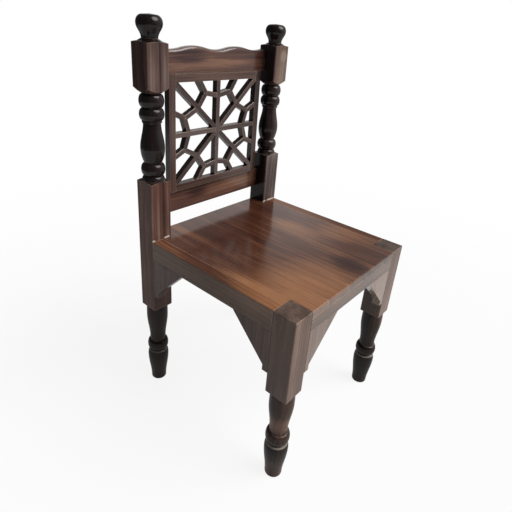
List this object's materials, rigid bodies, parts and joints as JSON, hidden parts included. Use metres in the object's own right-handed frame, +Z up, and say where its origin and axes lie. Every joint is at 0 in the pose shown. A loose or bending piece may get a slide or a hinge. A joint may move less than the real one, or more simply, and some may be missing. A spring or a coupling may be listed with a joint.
{
  "type": "dining chair",
  "caption": "Wooden dining chair with turned legs and posts, a flat board seat on aprons with triangular gussets, and a back panel of star-shaped fretwork under a wavy crest rail.",
  "frame": {"origin": "on the floor, under the middle of the four legs", "axes": "+Z up, +Y from the front to the back, +X to the right as seen by someone who faces the chair's front"},
  "size_m": [0.464, 0.482, 0.946],
  "materials": {
    "turned_wood": "dark walnut stain under gloss varnish",
    "seat_wood": "dark walnut stain under gloss varnish",
    "apron_wood": "dark walnut stain under gloss varnish",
    "rail_wood": "dark walnut stain under gloss varnish",
    "fret_wood": "dark walnut stain under gloss varnish",
    "peg_wood": "bare wood"
  },
  "bodies": {
    "root": {"apron_front": "apron_wood", "apron_left": "apron_wood", "apron_rear": "apron_wood", "apron_right": "apron_wood", "crest_rail": "rail_wood", "fret_bar_falling": "fret_wood", "fret_bar_level": "fret_wood", "fret_bar_rising": "fret_wood", "fret_bar_upright": "fret_wood", "fret_ring_01": "fret_wood", "fret_ring_02": "fret_wood", "fret_ring_03": "fret_wood", "fret_ring_04": "fret_wood", "fret_ring_05": "fret_wood", "fret_ring_06": "fret_wood", "fret_ring_07": "fret_wood", "fret_ring_08": "fret_wood", "fret_ring_09": "fret_wood", "fret_ring_10": "fret_wood", "fret_ring_11": "fret_wood", "fret_ring_12": "fret_wood", "fret_ring_13": "fret_wood", "fret_ring_14": "fret_wood", "fret_ring_15": "fret_wood", "fret_ring_16": "fret_wood", "fret_spur_1": "fret_wood", "fret_spur_2": "fret_wood", "fret_spur_3": "fret_wood", "fret_spur_4": "fret_wood", "fret_spur_5": "fret_wood", "fret_spur_6": "fret_wood", "fret_spur_7": "fret_wood", "fret_spur_8": "fret_wood", "front_leg_left": "turned_wood", "front_leg_right": "turned_wood", "gusset_dowels": "peg_wood", "gusset_front_left": "apron_wood", "gusset_front_right": "apron_wood", "gusset_left_front": "apron_wood", "gusset_left_rear": "apron_wood", "gusset_rear_left": "apron_wood", "gusset_rear_right": "apron_wood", "gusset_right_front": "apron_wood", "gusset_right_rear": "apron_wood", "lower_back_rail": "rail_wood", "panel_dowels": "peg_wood", "panel_rail_bottom": "fret_wood", "panel_rail_top": "fret_wood", "panel_stile_left": "fret_wood", "panel_stile_right": "fret_wood", "rear_post_left": "turned_wood", "rear_post_right": "turned_wood", "seat_board_1": "seat_wood", "seat_board_2": "seat_wood", "seat_board_3": "seat_wood", "seat_board_4": "seat_wood", "seat_board_5": "seat_wood", "seat_dowels": "peg_wood"}
  },
  "joints": []
}
